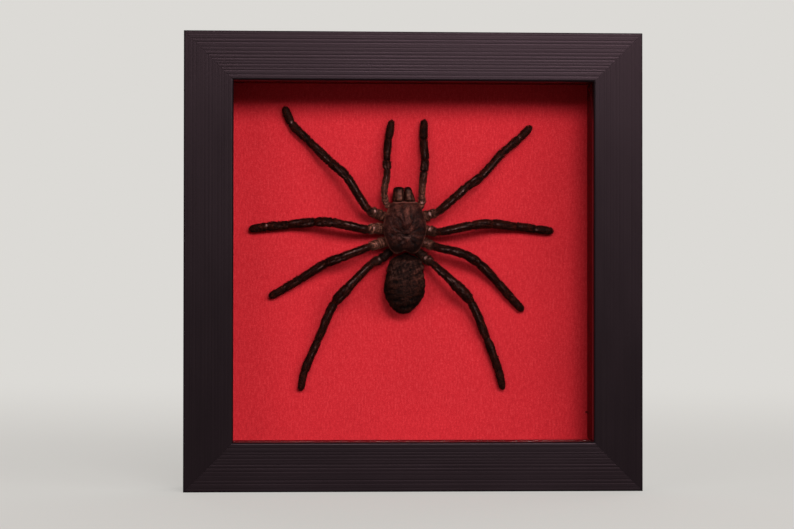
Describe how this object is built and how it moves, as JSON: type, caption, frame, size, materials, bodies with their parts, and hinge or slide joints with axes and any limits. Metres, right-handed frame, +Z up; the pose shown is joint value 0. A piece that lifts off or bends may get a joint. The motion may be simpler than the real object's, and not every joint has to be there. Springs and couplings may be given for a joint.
{
  "type": "framed tarantula specimen",
  "caption": "Dried tarantula spread on a red panel in a deep square shadow-box frame with a clear front, made to stand or hang.",
  "frame": {"origin": "middle of the base's footprint, on the surface the frame stands on", "axes": "+Z up, the glazed front faces -Y, +X to the viewer's right; the shortest side, the depth, is along Y"},
  "size_m": [0.19, 0.038, 0.19],
  "materials": {
    "moulding": "satin plum-black with fine lengthwise reeds",
    "glass": "clear float glass",
    "lining": "foam board faced with deep red paper",
    "panel": "mount board faced with fine-textured red paper",
    "back_board": "thin brown hardboard",
    "back_tab": "bare spring steel",
    "hanger": "zinc-plated pressed steel",
    "rivet": "plain steel",
    "carapace": "dry cuticle under flattened fine hair",
    "chelicera": "dry cuticle with bare and haired stripes",
    "abdomen": "shrunken skin under short velvet hair",
    "limb": "dark haired cuticle with pale joint skin"
  },
  "bodies": {
    "root": {"rail_top": "moulding", "rail_bottom": "moulding", "rail_left": "moulding", "rail_right": "moulding", "glass": "glass", "lining_top": "lining", "lining_bottom": "lining", "lining_left": "lining", "lining_right": "lining", "panel": "panel", "back_board": "back_board", "back_tab_1": "back_tab", "back_tab_2": "back_tab", "back_tab_3": "back_tab", "back_tab_4": "back_tab", "back_tab_5": "back_tab", "back_tab_6": "back_tab", "back_tab_7": "back_tab", "back_tab_8": "back_tab", "hanger": "hanger", "rivet_left": "rivet", "rivet_right": "rivet", "cephalothorax": "carapace", "chelicera_left": "chelicera", "chelicera_right": "chelicera", "abdomen": "abdomen", "palp_left": "limb", "palp_right": "limb", "leg_left_1": "limb", "leg_left_2": "limb", "leg_left_3": "limb", "leg_left_4": "limb", "leg_right_1": "limb", "leg_right_2": "limb", "leg_right_3": "limb", "leg_right_4": "limb"}
  },
  "joints": []
}
